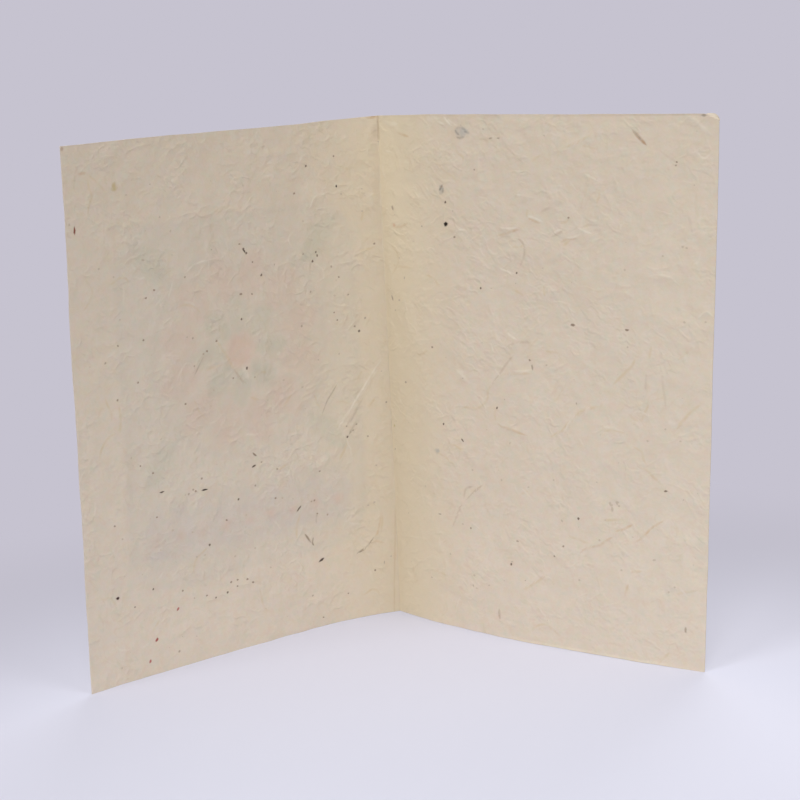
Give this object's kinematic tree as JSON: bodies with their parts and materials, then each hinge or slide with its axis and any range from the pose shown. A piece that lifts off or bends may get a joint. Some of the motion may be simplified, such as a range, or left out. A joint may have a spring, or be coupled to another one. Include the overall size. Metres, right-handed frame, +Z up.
{
  "type": "greeting card",
  "caption": "Folded card of thick handmade paper standing open on its lower edges, with a gently curved front cover and back leaf.",
  "frame": {"origin": "foot of the fold, in the middle of the paper's thickness, on the surface that the card stands on", "axes": "+Z up along the fold; +X to the back leaf's side, with the front cover to -X; the leaves open towards -Y, where their insides face"},
  "size_m": [0.2087, 0.0808, 0.178],
  "materials": {
    "handmade_paper": "matt cream handmade paper with bark flecks, long fibres and fine wrinkles"
  },
  "bodies": {
    "root": {"folded_sheet": "handmade_paper"}
  },
  "joints": []
}
